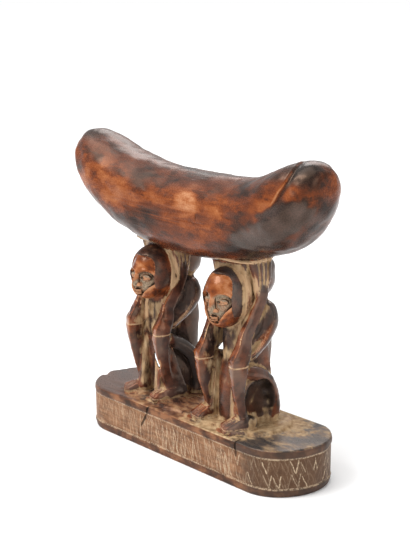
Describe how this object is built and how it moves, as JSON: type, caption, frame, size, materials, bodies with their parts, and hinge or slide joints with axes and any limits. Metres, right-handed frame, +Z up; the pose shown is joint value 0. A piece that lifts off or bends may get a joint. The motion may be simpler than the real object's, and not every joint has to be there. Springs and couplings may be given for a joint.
{
  "type": "carved wooden headrest",
  "caption": "Carved wooden neck rest: a crescent-shaped pillow borne by two crouching figures on a long base with round ends and an incised zigzag frieze.",
  "frame": {"origin": "on the underside, at the centre of the plan", "axes": "+X along the headrest, the figures face -Y, +Z up"},
  "size_m": [0.1894, 0.0521, 0.1692],
  "materials": {
    "wood": "hand-worn dark red-brown patina, glossy on the rest and the limbs, dusty tan in the hollows"
  },
  "bodies": {
    "root": {"headrest": "wood"}
  },
  "joints": []
}
